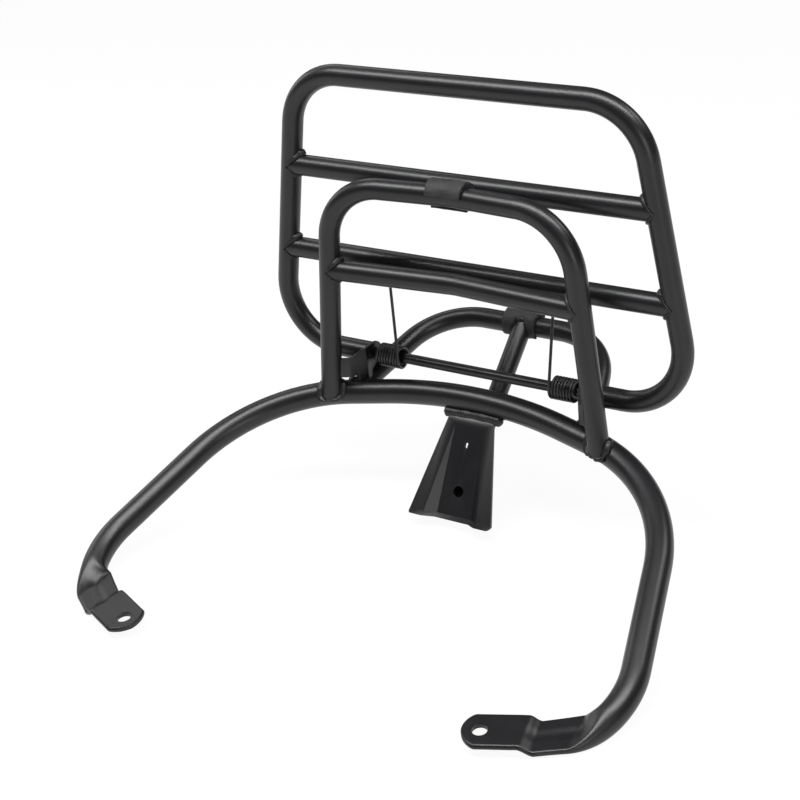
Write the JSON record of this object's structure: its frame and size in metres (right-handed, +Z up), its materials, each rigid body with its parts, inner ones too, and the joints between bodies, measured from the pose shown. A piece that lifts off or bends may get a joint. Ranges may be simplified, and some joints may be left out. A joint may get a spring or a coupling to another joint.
{
  "type": "motorcycle luggage rack",
  "caption": "Black tubular tail rack: a sloping hoop with flattened bolt lugs, an upright backrest, and a sprung carrier frame that folds down to the rear",
  "frame": {"origin": "midway between the two lug holes, on the underside of the lugs", "axes": "+Z up, +Y towards the rear of the motorcycle, X across it along the hinge axis"},
  "size_m": [0.4458, 0.3634, 0.3364],
  "materials": {
    "black_coat": "satin black powder coat",
    "spring_steel": "blackened spring wire",
    "rubber": "matt black rubber"
  },
  "bodies": {
    "frame": {"hoop_tube": "black_coat", "backrest_tube": "black_coat", "backrest_crossbar": "black_coat", "hinge_plate_left": "black_coat", "hinge_plate_right": "black_coat", "spring_left": "spring_steel", "spring_right": "spring_steel", "support_loop": "black_coat", "support_strut": "black_coat", "tail_bracket": "black_coat", "backrest_buffer": "rubber", "loop_buffer": "rubber"},
    "rack": {"rack_tube": "black_coat", "rack_lower_bar": "black_coat", "rack_upper_bar": "black_coat", "rail_plug_left": "black_coat", "rail_plug_right": "black_coat", "hinge_rod": "black_coat"}
  },
  "joints": [
    {"name": "rack_fold", "type": "hinge", "parent": "frame", "child": "rack", "pos_m": [0, 0.2625, 0.101], "axis": [-1, 0, 0], "range_deg": [0, 70], "stiffness_Nm_per_rad": 0.9, "springref_deg": -68.75, "deforming": ["spring_left", "spring_right"]}
  ]
}
